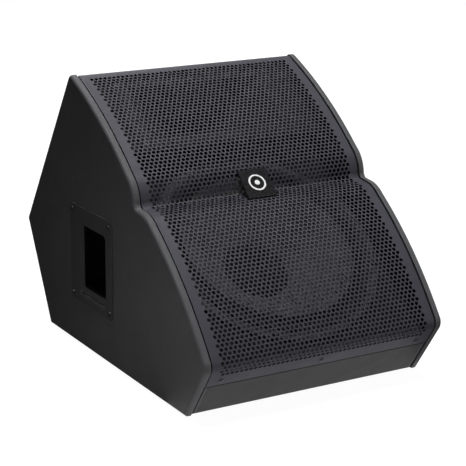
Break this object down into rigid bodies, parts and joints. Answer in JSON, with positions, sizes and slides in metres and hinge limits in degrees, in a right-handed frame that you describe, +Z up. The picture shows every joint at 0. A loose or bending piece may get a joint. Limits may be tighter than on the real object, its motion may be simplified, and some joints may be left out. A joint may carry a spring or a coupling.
{
  "type": "stage monitor wedge",
  "caption": "Two-way floor monitor wedge with a curved perforated grille over a large woofer and a horn, recessed side handles and rear sockets.",
  "frame": {"origin": "on the floor under the middle of the cabinet's overall outline", "axes": "+Z up, +Y to the rear of the cabinet, X across it; the grille faces -Y and up"},
  "size_m": [0.4396, 0.6369, 0.4583],
  "materials": {
    "cabinet_paint": "black textured water-based paint over birch plywood",
    "baffle_paint": "flat black paint over birch plywood",
    "raw_ply": "unpainted plywood",
    "grille_steel": "black powder coat on perforated steel sheet",
    "badge_black": "glossy black badge",
    "badge_white": "white raised pictogram",
    "black_screw": "black oxide steel",
    "zinc_screw": "zinc plated steel",
    "cast_frame": "black coated die-cast aluminium",
    "paper": "treated paper pulp",
    "cloth": "doped cloth",
    "spider_cloth": "resin-dipped cloth",
    "dust_cloth": "black doped cloth dome",
    "ferrite": "ferrite ring magnet",
    "plated_steel": "blackened and plated steel motor parts",
    "copper": "enamelled copper wire",
    "former": "polyimide coil former",
    "foam": "black sealing foam",
    "horn_plastic": "black moulded plastic",
    "titanium": "titanium diaphragm",
    "cap_metal": "black painted rear cap",
    "handle_plastic": "black moulded plastic",
    "foot_rubber": "black rubber",
    "socket_plastic": "black glass-filled plastic",
    "plate_steel": "black powder-coated steel",
    "board": "green glass-fibre circuit board",
    "standoff": "white nylon",
    "capacitor": "yellow film capacitor sleeve",
    "ceramic": "white ceramic resistor body",
    "terminal_plastic": "green terminal block",
    "wire_red": "red and black insulated wire",
    "terminal_strip": "phenolic terminal strip with tinned tags"
  },
  "bodies": {
    "cabinet": {"badge_emblem": "badge_white", "badge_plate": "badge_black", "badge_studs": "black_screw", "baffle_battens": "raw_ply", "board_screws": "zinc_screw", "board_standoffs": "standoff", "bottom_panel": "cabinet_paint", "crossover_board": "board", "crossover_capacitors": "capacitor", "crossover_coils": "copper", "crossover_resistors": "ceramic", "crossover_terminals": "terminal_plastic", "driver_wires": "wire_red", "foot_screws": "zinc_screw", "grille": "grille_steel", "grille_cheeks": "baffle_paint", "grille_screws": "black_screw", "handle_left": "handle_plastic", "handle_right": "handle_plastic", "handle_screws": "black_screw", "hf_bolts": "zinc_screw", "hf_diaphragm_mount": "horn_plastic", "hf_magnet": "ferrite", "hf_phase_plug": "horn_plastic", "hf_rear_cap": "cap_metal", "hf_terminals": "terminal_strip", "hf_top_plate": "plated_steel", "hf_yoke": "plated_steel", "horn": "horn_plastic", "horn_screws": "black_screw", "input_plate": "plate_steel", "input_screws": "black_screw", "input_wires": "wire_red", "kick_panel": "cabinet_paint", "lower_baffle": "baffle_paint", "rear_lower_panel": "cabinet_paint", "rear_upper_panel": "cabinet_paint", "rubber_feet": "foot_rubber", "side_panel_left": "cabinet_paint", "side_panel_right": "cabinet_paint", "speaker_socket_a": "socket_plastic", "speaker_socket_b": "socket_plastic", "top_rail": "cabinet_paint", "upper_baffle": "baffle_paint", "vent_rail": "baffle_paint", "woofer_frame": "cast_frame", "woofer_gasket": "foam", "woofer_magnet": "ferrite", "woofer_screws": "black_screw", "woofer_seal": "foam", "woofer_spider": "spider_cloth", "woofer_surround": "cloth", "woofer_terminals": "terminal_strip", "woofer_top_plate": "plated_steel", "woofer_yoke": "plated_steel"},
    "woofer_moving": {"woofer_cone": "paper", "woofer_dust_cap": "dust_cloth", "woofer_coil_former": "former", "woofer_coil_winding": "copper"},
    "hf_moving": {"hf_diaphragm": "titanium"}
  },
  "joints": [
    {"name": "woofer_stroke", "type": "slide", "parent": "cabinet", "child": "woofer_moving", "axis": [0, -0.5736, 0.8192], "range_m": [-0.006, 0.006], "stiffness_N_per_m": 4000, "deforming": ["woofer_surround", "woofer_spider"]},
    {"name": "hf_stroke", "type": "slide", "parent": "cabinet", "child": "hf_moving", "axis": [0, -0.5736, 0.8192], "range_m": [-0.0003, 0.0003], "stiffness_N_per_m": 20000}
  ]
}
